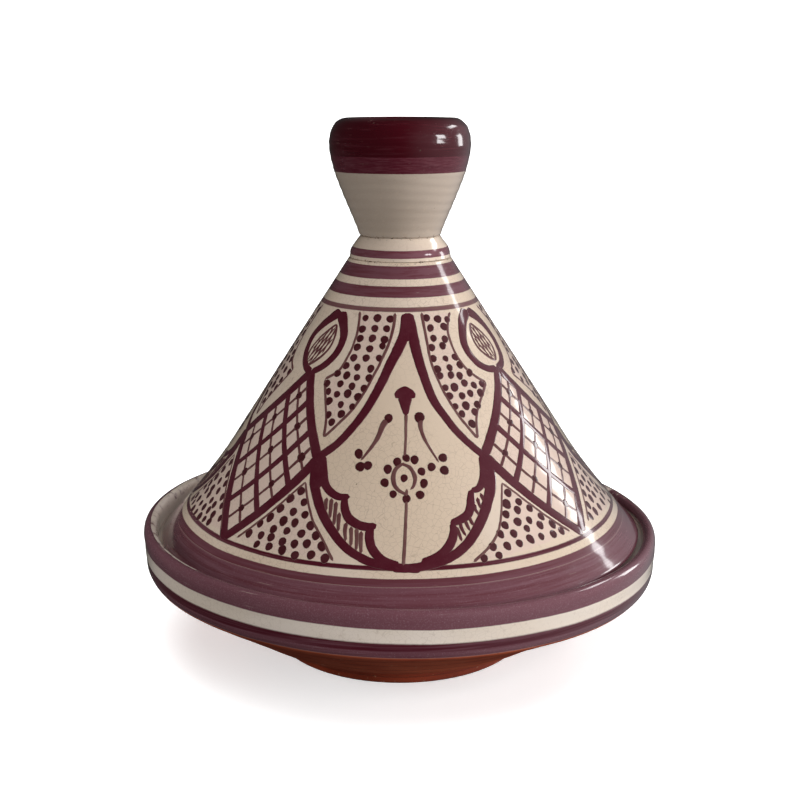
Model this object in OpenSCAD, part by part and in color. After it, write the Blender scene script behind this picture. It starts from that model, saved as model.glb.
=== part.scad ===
// Tagine: a shallow round dish on a turned foot, under a tall conical lid that
// ends in a collar and a cup-shaped knob. Every piece is a solid of revolution
// about Z. The dish stands on z = 0, and the lid sits on a ledge inside its rim.

/* [Dish] */
// Outside diameter of the rim
rim_d = 300; // [294:1:306]
// Height of the rim's crest above the table
dish_h = 75; // [73:0.5:78]
// Thickness of the upright rim
rim_t = 7.4; // [6:0.2:8]
// Height of the shoulder, where the bowl turns up into the rim
shoulder_z = 49.5; // [47:0.5:51]
// Depth of the lid's ledge below the rim's crest
ledge_drop = 9; // [8:0.5:11]
// Width of the ledge
ledge_w = 10.6; // [9:0.2:12]
// Thickness of the bowl's wall
bowl_t = 9; // [7:0.5:10]

/* [Foot] */
// Diameter of the foot where it joins the dish
foot_d = 156; // [150:1:160]
// Height of the foot
foot_h = 11; // [9:0.5:12]
// How far the foot's side leans in towards the table
foot_lean = 4; // [2:0.5:6]
// Diameter of the recess inside the foot
recess_d = 126; // [116:1:132]
// Radius of the foot's worn lower edge
foot_edge = 1.6; // [1:0.2:2]

/* [Lid] */
// Outside diameter of the lid's edge
lid_d = 280; // [278:0.5:281]
// Thickness of the lid's wall
lid_t = 7; // [6:0.5:8]
// Radius of the cone where its flare ends
flare_r = 98.8; // [97:0.2:101]
// Height of that place above the table
flare_z = 120.5; // [118:0.5:123]
// Radius of the cone's top, under the collar
cone_top_r = 28.9; // [28:0.1:30]
// Height of the cone's top above the table
cone_top_z = 228; // [226:0.5:230]

/* [Collar and knob] */
// Height of the collar
collar_h = 12.5; // [11.5:0.5:13.5]
// Radius of the hole through the collar
collar_hole_r = 16; // [14:0.5:17]
// Radius of the neck, at the collar's top
neck_r = 22.9; // [22:0.1:24]
// Largest radius of the knob
knob_r = 39.6; // [38.6:0.1:40.6]
// Height of the whole tagine
total_h = 305; // [303:0.5:308]
// Radius of the knob's crest
crest_r = 29.6; // [29:0.1:31]
// Radius of the cup's mouth
mouth_r = 24.6; // [23:0.2:25.4]
// Thickness of the cup's floor
cup_floor_t = 12; // [9:0.5:14]
// Radius of the cup's floor
cup_floor_r = 11; // [9:0.5:12]

/* [Hidden] */

$fn = 180;           // any value over 12 gives true round faces
long_steps = 12;     // pieces in a long curve
short_steps = 6;     // pieces in a short curve
rim_r = rim_d / 2;
foot_r = foot_d / 2;
recess_r = recess_d / 2;
lid_r = lid_d / 2;
ledge_z = dish_h - ledge_drop;
ledge_out_r = rim_r - rim_t;
ledge_in_r = ledge_out_r - ledge_w;
bowl_floor_z = foot_h + 8;
cone_drop = cone_top_z - flare_z;
cone_lean = (flare_r - cone_top_r) / cone_drop;
lid_t_across = lid_t * sqrt(1 + cone_lean * cone_lean);
seat_in_r = lid_r - lid_t - 0.6;
neck_z = cone_top_z + collar_h;
cup_floor_z = neck_z + cup_floor_t;

cream = [0.84, 0.76, 0.66];
mauve = [0.42, 0.25, 0.30];
clay = [0.55, 0.28, 0.18];

// Points of a cubic curve from a to d, with b and c pulling it
function bend(a, b, c, d, steps) = [
    for (i = [0:steps])
        let (t = i / steps, u = 1 - t)
        u * u * u * a + 3 * u * u * t * b + 3 * u * t * t * c + t * t * t * d
];

module turned(outline) {
    rotate_extrude() polygon(outline);
}

// Bowl, shoulder, upright rim and the ledge that takes the lid
module dish() {
    belly = [foot_r + 26, foot_h + 11];
    shoulder = [rim_r - 4.5, shoulder_z - 2];
    inner_belly = belly + bowl_t * [-0.52, 0.85];
    inner_top = [ledge_in_r, ledge_z - 10];
    outside = concat(
        bend([foot_r, foot_h], [foot_r + 10, foot_h + 0.5], belly - [10, 7], belly, long_steps),
        bend(belly, belly + [12, 8], shoulder - [11.5, 7], shoulder, long_steps),
        bend(shoulder, shoulder + [3, 2], [rim_r - 1, shoulder_z + 2.5],
             [rim_r - 0.8, shoulder_z + 6], short_steps)
    );
    crest = concat(
        bend([rim_r, dish_h - 6], [rim_r, dish_h - 1.7], [rim_r - 1.7, dish_h],
             [rim_r - rim_t / 2, dish_h], short_steps),
        bend([rim_r - rim_t / 2, dish_h], [ledge_out_r + 1.5, dish_h],
             [ledge_out_r + 0.2, dish_h - 1.5], [ledge_out_r, dish_h - 4.5], short_steps)
    );
    inside = concat(
        bend(inner_top, inner_top - [0.5, 8], inner_belly + [25, 13], inner_belly, long_steps),
        bend(inner_belly, inner_belly - [12, 8], [foot_r, bowl_floor_z],
             [foot_r - 18, bowl_floor_z], long_steps)
    );
    color(mauve) turned(concat(
        [[0, foot_h]], outside, crest,
        [[ledge_out_r, ledge_z], [ledge_in_r + 1, ledge_z], [ledge_in_r, ledge_z - 1]],
        inside, [[0, bowl_floor_z]]
    ));
}

// Ring that the dish stands on, leaning in towards a worn lower edge
module foot_ring() {
    foot_low_r = foot_r - foot_lean;
    color(clay) turned(concat(
        [[recess_r, foot_h], [recess_r, 1], [recess_r + 1, 0]],
        bend([foot_low_r - foot_edge, 0], [foot_low_r - foot_edge / 2, 0],
             [foot_low_r, foot_edge / 2], [foot_low_r + 0.6, foot_edge], short_steps),
        [[foot_r, foot_h]]
    ));
}

// Cone with a flared skirt, open at the top, with a flat edge that rests on the ledge
module lid_cone() {
    edge = [lid_r, ledge_z + 4];
    flare_end = [flare_r, flare_z];
    inner_flare_end = [flare_r - lid_t_across, flare_z];
    color(cream) turned(concat(
        [[seat_in_r, ledge_z], [lid_r - 1.5, ledge_z], [lid_r, ledge_z + 1.5]],
        bend(edge, edge + [-13, 13], flare_end + [11, -16.7], flare_end, long_steps),
        [[cone_top_r, cone_top_z], [cone_top_r - lid_t_across, cone_top_z]],
        bend(inner_flare_end, inner_flare_end + [11, -16.7],
             [seat_in_r - 13, ledge_z + 12], [seat_in_r, ledge_z + 1], long_steps)
    ));
}

// Coil of clay that joins the knob to the cone
module neck_collar() {
    color(cream) turned(concat(
        [[collar_hole_r, neck_z], [collar_hole_r, cone_top_z]],
        bend([cone_top_r, cone_top_z], [cone_top_r + 0.5, cone_top_z + 5],
             [neck_r + 3.1, neck_z - 5.5], [neck_r, neck_z], long_steps)
    ));
}

// Open cup with a thick rolled rim, closed below
module lid_knob() {
    waist = [knob_r - 3, total_h - 30];
    brow = [knob_r - 1.4, total_h - 6.5];
    cup_mouth = [mouth_r, total_h - 6];
    cup_side = [mouth_r - 0.5, total_h - 30];
    color(cream) turned(concat(
        [[0, neck_z]],
        bend([neck_r, neck_z], [neck_r + 2.6, neck_z + 8], [neck_r + 8.1, neck_z + 19],
             waist, long_steps),
        bend(waist, waist + [2.4, 9], [knob_r + 1.4, total_h - 14], brow, long_steps),
        bend(brow, brow + [-1.8, 4.5], [crest_r + 3.5, total_h], [crest_r, total_h], short_steps),
        bend([crest_r, total_h], [crest_r - 2.5, total_h], [mouth_r, total_h - 2.5],
             cup_mouth, short_steps),
        bend(cup_side, [mouth_r - 1, cup_floor_z + 12], [cup_floor_r + 6, cup_floor_z],
             [cup_floor_r, cup_floor_z], long_steps),
        [[0, cup_floor_z]]
    ));
}

dish();
foot_ring();
lid_cone();
neck_collar();
lid_knob();
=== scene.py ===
# A glazed and hand-painted tagine: a footed dish under a tall lid with a cup-shaped knob
import math
import random

import bmesh
import bpy
import numpy as np
from mathutils import Euler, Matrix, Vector


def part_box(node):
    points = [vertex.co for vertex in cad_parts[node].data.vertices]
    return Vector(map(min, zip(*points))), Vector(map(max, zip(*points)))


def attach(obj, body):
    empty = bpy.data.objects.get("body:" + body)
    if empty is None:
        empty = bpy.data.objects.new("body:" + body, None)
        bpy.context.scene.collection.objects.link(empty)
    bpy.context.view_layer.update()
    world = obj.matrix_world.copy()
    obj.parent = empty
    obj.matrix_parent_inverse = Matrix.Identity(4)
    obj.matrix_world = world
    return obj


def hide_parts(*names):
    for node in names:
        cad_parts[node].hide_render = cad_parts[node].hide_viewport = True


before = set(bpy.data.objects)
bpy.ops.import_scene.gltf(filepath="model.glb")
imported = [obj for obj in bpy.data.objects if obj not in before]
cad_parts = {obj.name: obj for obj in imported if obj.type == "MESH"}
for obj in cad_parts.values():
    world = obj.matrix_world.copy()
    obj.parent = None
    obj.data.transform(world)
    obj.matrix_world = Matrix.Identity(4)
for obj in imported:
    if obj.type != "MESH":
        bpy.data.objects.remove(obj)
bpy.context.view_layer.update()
print("frame loaded:", ", ".join(sorted(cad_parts)))

mm = 0.001

# levels and radii that the frame gives, in millimetres
far = {label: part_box(label)[1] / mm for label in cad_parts}
rimRadius, rimTop = far["dish"].x, far["dish"].z
footRadius, footTop = far["foot_ring"].x, far["foot_ring"].z
lidRadius, coneTop = far["lid_cone"].x, far["lid_cone"].z
coneTopRadius, neckTop, knobTop = far["neck_collar"].x, far["neck_collar"].z, far["lid_knob"].z
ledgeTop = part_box("lid_cone")[0].z / mm


def bend(a, b, c, d, steps=14):
    # cubic curve from a to d, pulled towards b and c
    t = np.linspace(0, 1, steps + 1)[:, None]
    a, b, c, d = (np.array(p, float) for p in (a, b, c, d))
    return a * (1 - t) ** 3 + 3 * b * t * (1 - t) ** 2 + 3 * c * t * t * (1 - t) + d * t ** 3


def roundCorner(before, corner, after, radius, steps=6):
    # a small round where two straight sides meet
    before, corner, after = (np.array(p, float) for p in (before, corner, after))
    start = corner + radius * (before - corner) / np.linalg.norm(before - corner)
    end = corner + radius * (after - corner) / np.linalg.norm(after - corner)
    return bend(start, start + 0.55 * (corner - start), end + 0.55 * (corner - end), end, steps)


def smoothLine(points, perSpan=7):
    # a curve through every point
    p = np.array(points, float)
    p = np.vstack([2 * p[0] - p[1], p, 2 * p[-1] - p[-2]])
    out = []
    for i in range(1, len(p) - 2):
        for t in np.linspace(0, 1, perSpan, endpoint=False):
            out.append(0.5 * (2 * p[i] + (p[i + 1] - p[i - 1]) * t
                              + (2 * p[i - 1] - 5 * p[i] + 4 * p[i + 1] - p[i + 2]) * t ** 2
                              + (3 * p[i] - p[i - 1] - 3 * p[i + 1] + p[i + 2]) * t ** 3))
    out.append(p[-2])
    return np.array(out)


def outlineMesh(name, stretches, closed, gap=1.5):
    # each stretch is points in mm and marks, and a mark may be a rule of radius and height
    corners, given = [], []
    for points, marks in stretches:
        for p in np.array(points, float):
            if not corners or np.linalg.norm(p - corners[-1]) > 0.03:
                corners.append(p)
                given.append([rule(*p) if callable(rule) else rule for rule in marks.values()])
    corners, given = np.array(corners), np.array(given, float)
    if closed:
        corners, given = np.vstack([corners, corners[:1]]), np.vstack([given, given[:1]])
    run = np.concatenate([[0], np.cumsum(np.linalg.norm(np.diff(corners, axis=0), axis=1))])
    stops = [run[0]]
    for a, b in zip(run, run[1:]):
        count = max(1, math.ceil((b - a) / gap))
        stops.extend(a + (b - a) * (i + 1) / count for i in range(count))
    if closed:
        stops = stops[:-1]
    r, z = (np.interp(stops, run, corners[:, axis]) for axis in (0, 1))
    edges = [(i, i + 1) for i in range(len(stops) - 1)]
    if closed:
        edges.append((len(stops) - 1, 0))
    mesh = bpy.data.meshes.new(name)
    # the sweep turns the outline's second axis upside down
    mesh.from_pydata([(x * mm, -y * mm, 0) for x, y in zip(r, z)], edges, [])
    for column, label in enumerate(stretches[0][1]):
        layer = mesh.attributes.new(label, "FLOAT", "POINT")
        layer.data.foreach_set("value", np.interp(stops, run, given[:, column]))
    return mesh


class Wire:
    # what one node sends to the next, with ordinary arithmetic
    def __init__(self, socket):
        self.socket = socket

    def __add__(self, other):
        return calc("ADD", self, other)

    def __sub__(self, other):
        return calc("SUBTRACT", self, other)

    def __rsub__(self, other):
        return calc("SUBTRACT", other, self)

    def __mul__(self, other):
        return calc("MULTIPLY", self, other)

    def __truediv__(self, other):
        return calc("DIVIDE", self, other)

    def __rtruediv__(self, other):
        return calc("DIVIDE", other, self)

    def __neg__(self):
        return calc("MULTIPLY", self, -1.0)

    __radd__, __rmul__ = __add__, __mul__


def feed(socket, value):
    if isinstance(value, Wire):
        socket.id_data.links.new(value.socket, socket)
    elif value is not None:
        socket.default_value = value


def fill(sockets, values):
    for label, value in values.items():
        feed(sockets[label], value)


def node(where, kind, inputs=None, take=0, **settings):
    # adds a node to a tree or beside a wire, and gives back one of its outputs, or several
    tree = where.socket.id_data if isinstance(where, Wire) else where
    made = tree.nodes.new(kind)
    for key, value in settings.items():
        setattr(made, key, value)
    fill(made.inputs, inputs or {})
    if isinstance(take, tuple):
        return [Wire(made.outputs[key]) for key in take]
    return Wire(made.outputs[take])


def firstWire(*values):
    return next(value for value in values if isinstance(value, Wire))


def calc(operation, *values, clamp=False):
    return node(firstWire(*values), "ShaderNodeMath", dict(enumerate(values)),
                operation=operation, use_clamp=clamp)


def aim(operation, *values):
    return node(firstWire(*values), "ShaderNodeVectorMath", dict(enumerate(values)),
                "Value" if operation == "DOT_PRODUCT" else "Vector", operation=operation)


def scaled(vector, amount):
    return node(firstWire(vector, amount), "ShaderNodeVectorMath", {0: vector, "Scale": amount},
                operation="SCALE")


def apart(vector):
    return node(vector, "ShaderNodeSeparateXYZ", {0: vector}, (0, 1, 2))


def joined(x=0.0, y=0.0, z=0.0):
    return node(firstWire(x, y, z), "ShaderNodeCombineXYZ", {0: x, 1: y, 2: z})


def fade(value, low, high, toLow=0.0, toHigh=1.0):
    return node(value, "ShaderNodeMapRange", dict(enumerate((value, low, high, toLow, toHigh))),
                interpolation_type="SMOOTHSTEP")


def blend(share, under, over):
    # mixes two colours, each of them a wire, four numbers or a name in the palette
    under, over = (palette[tone] if isinstance(tone, str) else tone for tone in (under, over))
    return node(firstWire(share, under, over), "ShaderNodeMix", {0: share, 6: under, 7: over}, 2,
                data_type="RGBA")


def blendFloat(share, under, over):
    return node(share, "ShaderNodeMix", {0: share, 2: under, 3: over}, data_type="FLOAT")


def noise(vector, scale, detail=2.0, rough=0.5, take=0):
    return node(vector, "ShaderNodeTexNoise", {"Vector": vector, "Scale": scale, "Detail": detail,
                                               "Roughness": rough}, take)


def wander(vector, scale, amount):
    # shifts that differ from place to place, as far as the amount each way
    return scaled(aim("SUBTRACT", noise(vector, scale, take="Color"), (0.5, 0.5, 0.5)), amount * 2.0)


def objectSpot(tree):
    return node(tree, "ShaderNodeTexCoord", take="Object")


def mark(tree, label):
    return node(tree, "ShaderNodeAttribute", take="Fac", attribute_name=label)


socketKinds = {float: "Float", int: "Int", tuple: "Color"}


def newGroup(name, kind, inputs, outputs):
    # a socket is given by its first value, or by its kind where it has none
    tree = bpy.data.node_groups.new(name, kind)
    for way, sockets in (("INPUT", inputs), ("OUTPUT", outputs)):
        for label, value in sockets.items():
            kindOnly = isinstance(value, str)
            socketKind = "NodeSocket" + (value if kindOnly else socketKinds[type(value)])
            socket = tree.interface.new_socket(name=label, in_out=way, socket_type=socketKind)
            if not kindOnly:
                socket.default_value = value
    given = {socket.name: Wire(socket) for socket in tree.nodes.new("NodeGroupInput").outputs}
    return tree, given, tree.nodes.new("NodeGroupOutput").inputs


def placed(tree, group, values=None):
    made = tree.nodes.new("ShaderNodeGroup")
    made.node_tree = group
    fill(made.inputs, values or {})
    return {socket.name: Wire(socket) for socket in made.outputs}


# linear colours of the glazes, the paints, the clay and the studio
palette = {
    "cream": (0.75, 0.615, 0.50, 1),
    "creamWarm": (0.70, 0.555, 0.42, 1),
    "creamPink": (0.72, 0.555, 0.465, 1),
    "creamDull": (0.54, 0.42, 0.32, 1),
    "rimCream": (0.89, 0.78, 0.68, 1),
    "rimWarm": (0.85, 0.73, 0.61, 1),
    # the neck's cream is darkened as painted shade
    "neckShadedCream": (0.59, 0.485, 0.40, 1),
    # the knob's creams are darkened as painted shade, for the light that reaches the knob less
    "knobShadedCream": (0.48, 0.395, 0.325, 1),
    "knobShadedWarm": (0.43, 0.35, 0.28, 1),
    "plum": (0.048, 0.0022, 0.0058, 1),       # the paint laid on thick, darker again as painted shade on the knob, where alone it is used
    "stroke": (0.080, 0.0085, 0.0175, 1),
    "dot": (0.056, 0.0095, 0.0120, 1),
    "plumThin": (0.130, 0.036, 0.047, 1),
    "mauve": (0.165, 0.062, 0.079, 1),        # the paint laid on thin
    "mauvePale": (0.27, 0.135, 0.160, 1),
    "wash": (0.185, 0.092, 0.082, 1),         # the paint at the end of a dry brush
    "speck": (0.07, 0.03, 0.022, 1),
    "crack": (0.36, 0.25, 0.18, 1),
    "clayPale": (0.58, 0.128, 0.060, 1),
    "clayDeep": (0.42, 0.076, 0.035, 1),
    "clayLine": (0.10, 0.022, 0.012, 1),
    "clayChalk": (0.55, 0.30, 0.18, 1),
    "claySoot": (0.06, 0.02, 0.012, 1),
    "footPale": (0.34, 0.053, 0.020, 1),
    "footDeep": (0.21, 0.029, 0.011, 1),
    "footWorn": (0.37, 0.066, 0.027, 1),
    "paperGrey": (0.86, 0.86, 0.86, 1),
    "paperWhite": (0.9, 0.9, 0.9, 1),
    "airDim": (0.03, 0.03, 0.03, 1),
    "airBright": (0.4, 0.4, 0.42, 1),
    "white": (1.0, 1.0, 1.0, 1),
}


def makeStreaks():
    # horizontal marks that a loaded brush leaves on a pot turning on the wheel
    tree, given, result = newGroup("wheelStreaks", "ShaderNodeTree", {
        "Per Metre": 700.0, "Reach": 1.6, "Contrast": 1.0}, {"Streak": "Float"})
    x, y, z = apart(objectSpot(tree))
    around = scaled(aim("NORMALIZE", joined(x, y)), given["Reach"])
    run = noise(aim("ADD", around, joined(z=z * given["Per Metre"])), 1.0, 5.0, 0.62)
    feed(result["Streak"], calc("ADD", (run - 0.5) * given["Contrast"] * 2.2, 0.5, clamp=True))
    return tree


def makeBand():
    # where a painted ring lies, between two heights in metres
    tree, given, result = newGroup("paintedRing", "ShaderNodeTree", {
        "Height": 0.0, "Lower": 0.0, "Upper": 0.01, "Softness": 0.0003}, {"Mask": "Float"})
    above = [fade(given["Height"], given[level] - given["Softness"], given[level] + given["Softness"])
             for level in ("Lower", "Upper")]
    feed(result["Mask"], calc("SUBTRACT", *above, clamp=True))
    return tree


def makeHandHeight():
    # height above the table as an unsteady hand sees it
    tree, given, result = newGroup("handHeight", "ShaderNodeTree", {
        "Waver": 0.0004, "Tilt": 0.0, "Fine Waver": 0.00012}, {"Height": "Float"})
    spot = objectSpot(tree)
    x, y, z = apart(spot)
    slow = (noise(spot, 22.0, 1.0) - 0.5) * given["Waver"] * 2.0
    quick = (noise(spot, 420.0) - 0.5) * given["Fine Waver"] * 2.0
    feed(result["Height"], z + slow + quick + x * given["Tilt"])
    return tree


def makeFlaws():
    # crazing, pinholes and the faint orange peel of a fired glaze
    tree, given, result = newGroup("glazeFlaws", "ShaderNodeTree", {
        "Crack Cell": 0.0029, "Speck Cell": 0.011, "Speck Size": 0.030},
        {"Cracks": "Float", "Specks": "Float", "Relief": "Float"})
    spot = objectSpot(tree)
    bent = aim("ADD", spot, wander(spot, 90.0, 0.0025))
    edge = node(tree, "ShaderNodeTexVoronoi", {"Vector": bent, "Scale": 1.0 / given["Crack Cell"]},
                "Distance", feature="DISTANCE_TO_EDGE")
    patch = fade(noise(spot, 16.0), 0.36, 0.56)
    feed(result["Cracks"], fade(edge, 0.0, 0.045, 1.0, 0.0) * patch)
    away, chance = node(tree, "ShaderNodeTexVoronoi",
                        {"Vector": spot, "Scale": 1.0 / given["Speck Cell"]},
                        ("Distance", "Color"), feature="F1")
    rare = calc("POWER", node(tree, "ShaderNodeSeparateColor", {0: chance}), 3.0)
    size = given["Speck Size"] * rare
    feed(result["Specks"], fade(away, size, size + 0.012, 1.0, 0.0))
    feed(result["Relief"], noise(spot, 320.0, 4.0, 0.6) * 0.7 + noise(spot, 60.0) * 0.6)
    return tree


def makeClay():
    # grog, soot and throwing marks of bare terracotta
    tree, given, result = newGroup("bareClay", "ShaderNodeTree", {
        "Pale": palette["clayPale"], "Deep": palette["clayDeep"], "Grit": 900.0, "Line Pitch": 0.0095},
        {"Colour": "Color", "Relief": "Float"})
    spot = objectSpot(tree)
    height = placed(tree, heightGroup, {"Waver": 0.5 * mm})["Height"]
    turn = calc("FRACT", height / given["Line Pitch"])
    line = fade(calc("ABSOLUTE", turn - 0.5), 0.0, 0.09, 1.0, 0.0)
    cloud = fade(noise(spot, 28.0, 5.0, 0.6), 0.33, 0.68)
    tone = blend(cloud, given["Deep"], given["Pale"])
    tone = blend(line * 0.45, tone, "clayLine")
    tone = blend(fade(noise(spot, 310.0), 0.69, 0.73) * 0.7, tone, "clayChalk")
    tone = blend(fade(noise(spot, 520.0), 0.66, 0.78) * 0.5, tone, "claySoot")
    feed(result["Colour"], tone)
    feed(result["Relief"], noise(spot, given["Grit"], 2.0, 0.6) + cloud * 0.6 - line * 0.8)
    return tree


streaksGroup = makeStreaks()
bandGroup = makeBand()
heightGroup = makeHandHeight()
flawsGroup = makeFlaws()
clayGroup = makeClay()
print("shader groups ready")


def newMaterial(name):
    material = bpy.data.materials.new(name)
    material.use_nodes = True
    return material, material.node_tree, material.node_tree.nodes["Principled BSDF"]


glassyTop = {"Coat Roughness": 0.08, "Specular IOR Level": 0.12}


def finish(shader, colour, roughness, relief, strength, depth, coat=None):
    # depth is in mm; coat is how much of the glassy top layer there is, where there is one
    bump = node(relief, "ShaderNodeBump", {"Strength": strength, "Distance": depth * mm,
                                           "Height": relief})
    fill(shader.inputs, {"Base Color": colour, "Roughness": roughness, "Normal": bump})
    if coat is not None:
        fill(shader.inputs, {"Coat Weight": coat, **glassyTop})


def brushedCoats(spot, streak, fine, freckles):
    # the ways that the paint lies; the thin ones show their brush marks, the thick one hardly does
    thin = blend(fade(streak, 0.15, 0.65), "plumThin", "mauve")
    thin = blend(fade(fine, 0.52, 0.9) * 0.40, thin, "mauvePale")
    freckle = fade(noise(spot, 1300.0, 2.0, 0.7), 0.55, 0.72) * freckles
    sparkle = fade(noise(spot, 1500.0, 3.0, 0.75), 0.50, 0.70)
    return {
        "thin": blend(freckle, thin, "mauvePale"),
        "thick": blend(fade(streak, 0.45, 0.95) * 0.28, "plum", "plumThin"),
        "deep": blend(fade(streak, 0.35, 0.85) * 0.8, "stroke", "mauve"),
        "worn": blend(sparkle * 0.75 + streak * 0.15, "mauve", "mauvePale"),
        "middle": blend(fade(streak, 0.35, 0.9), "plumThin", "mauve"),
        "stripe": blend(fade(streak, 0.2, 0.75), "plumThin", "mauve"),
        "wash": blend(fade(fine, 0.3, 0.8), "wash", "mauve"),
        # the knob's mauve band: the mauve paint laid darker as painted shade
        "shadedMauve": blend(fade(fine, 0.3, 0.9) * 0.8, "stroke", "plumThin"),
    }


def ringMask(tree, height, lower, upper, softness):
    return placed(tree, bandGroup, {"Height": height, "Lower": lower * mm, "Upper": upper * mm,
                                    "Softness": softness * mm})["Mask"]


def glazed(name, rings, look):
    # cream glaze with painted rings; look says what is special about this piece
    material, tree, shader = newMaterial(name)
    spot, inner = objectSpot(tree), mark(tree, "inside")
    height = placed(tree, heightGroup, {"Waver": look["waver"] * mm, "Fine Waver": 0.10 * mm,
                                        "Tilt": mark(tree, "leans") * look.get("tilt", 0.0)})["Height"]
    flaws = placed(tree, flawsGroup, {"Speck Size": look["specks"]})
    streak = placed(tree, streaksGroup, {"Per Metre": 620.0})["Streak"]
    fine = placed(tree, streaksGroup, {"Per Metre": 1900.0, "Reach": 5.0, "Contrast": 0.9})["Streak"]
    colour = blend(fade(noise(spot, 14.0, 3.0), 0.35, 0.7), *look["ground"])
    if look.get("tinted"):
        colour = blend(mark(tree, "pink"), colour, "creamPink")
        colour = blend(mark(tree, "warm") * 0.75, colour, "creamWarm")
    dull = fade(noise(spot, 330.0, 3.0, 0.6), 0.56, 0.78)
    colour = blend(dull * 0.36, colour, "creamDull")
    colour = blend(flaws["Cracks"] * look.get("crazing", 0.2), colour, "crack")
    # the paint is rubbed off towards the inside, less so in front
    front = aim("DOT_PRODUCT", spot, (0.6, -1.0, 0.0))
    rubbed = inner + (noise(spot, 120.0, 4.0, 0.65) - 0.5) * 0.7 \
        - fade(front, 0.02, 0.07, 0.0, look.get("frontCover", 0.0))
    cover = fade(rubbed, 0.24, 0.40, 1.0, 0.0) * fade(fine, 0.02, 0.22, 0.72, 1.0)
    coats = brushedCoats(spot, streak, fine, look.get("freckles", 0.25))
    for lower, upper, coat, softness in rings:
        colour = blend(ringMask(tree, height, lower, upper, softness) * cover, colour, coats[coat])
    colour = blend(flaws["Specks"] * 0.8, colour, "speck")
    pits = 0.0
    for level, reach in look["seams"]:
        near = fade(calc("ABSOLUTE", height - level * mm), 0.0, reach * mm, 1.0, 0.0)
        grit = fade(noise(spot, 620.0, 3.0, 0.65), 0.56, 0.66)
        pits = calc("MAXIMUM", pits, near * grit)
    colour = blend(pits * 0.85, colour, "speck")
    clay = placed(tree, clayGroup)
    bare = mark(tree, "bare")
    if "bareBelow" in look:
        below = ringMask(tree, height, -1000.0, look["bareBelow"], 0.45)
        bare = calc("MAXIMUM", bare, below * calc("SUBTRACT", 1.0, inner, clamp=True))
    gloss = noise(spot, 60.0, 3.0) * 0.10 + 0.16
    relief = flaws["Relief"] * 0.5 + streak * 0.22 - flaws["Specks"] * 0.5 - flaws["Cracks"] * 0.10 \
        - pits * 0.9
    finish(shader, blend(bare, colour, clay["Colour"]), blendFloat(bare, gloss, 0.78),
           blendFloat(bare, relief, clay["Relief"]), look.get("bump", 0.32), 0.35,
           blendFloat(bare, 1.0, 0.0))
    return material


def brushPaint(name, look):
    # paint in separate strokes: darker where it pools, thinner at the rims
    material, tree, shader = newMaterial(name)
    spot = objectSpot(tree)
    cloud = noise(spot, look["patch"], 3.0, 0.6)
    load = calc("ADD", (cloud - 0.5) * 1.1, mark(tree, "ink"), clamp=True)
    colour = blend(load, look["weak"], look["full"])
    grain = fade(noise(spot, 900.0, 3.0, 0.6), 0.5, 0.8)
    colour = blend(grain * 0.28, colour, "plumThin")
    rim = fade(mark(tree, "across"), look["rimFrom"], 1.0)
    colour = blend(rim * look["rimFade"], colour, "creamPink")
    finish(shader, colour, cloud * 0.12 + 0.17, noise(spot, 240.0, 3.0), 0.25, 0.2, 1.0)
    return material


def clayMaterial(name):
    material, tree, shader = newMaterial(name)
    clay = placed(tree, clayGroup, {"Pale": palette["footPale"], "Deep": palette["footDeep"]})
    streak = placed(tree, streaksGroup, {"Per Metre": 500.0, "Contrast": 0.8})["Streak"]
    finish(shader, blend(streak * 0.3, clay["Colour"], "footWorn"), streak * 0.2 + 0.52,
           clay["Relief"] + streak, 0.6, 0.4)
    return material


def spotIn(tree):
    return node(tree, "GeometryNodeInputPosition")


def normalIn(tree):
    return node(tree, "GeometryNodeInputNormal")


def readMark(tree, label):
    return node(tree, "GeometryNodeInputNamedAttribute", {"Name": label}, data_type="FLOAT")


def keepMark(shape, label, value):
    return node(shape, "GeometryNodeStoreNamedAttribute",
                {"Geometry": shape, "Name": label, "Value": value}, data_type="FLOAT", domain="POINT")


def shifted(shape, offset):
    return node(shape, "GeometryNodeSetPosition", {"Geometry": shape, "Offset": offset})


def putAt(shape, place):
    return node(shape, "GeometryNodeSetPosition", {"Geometry": shape, "Position": place})


def circle(tree, sides, radius):
    return node(tree, "GeometryNodeCurvePrimitiveCircle", {"Resolution": sides, "Radius": radius},
                mode="RADIUS")


def endTree(shape, material, result):
    smooth = node(shape, "GeometryNodeSetShadeSmooth", {0: shape})
    real = node(shape, "GeometryNodeRealizeInstances", {0: smooth})
    coated = node(shape, "GeometryNodeSetMaterial", {"Geometry": real, "Material": material})
    feed(result["Geometry"], coated)


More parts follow.
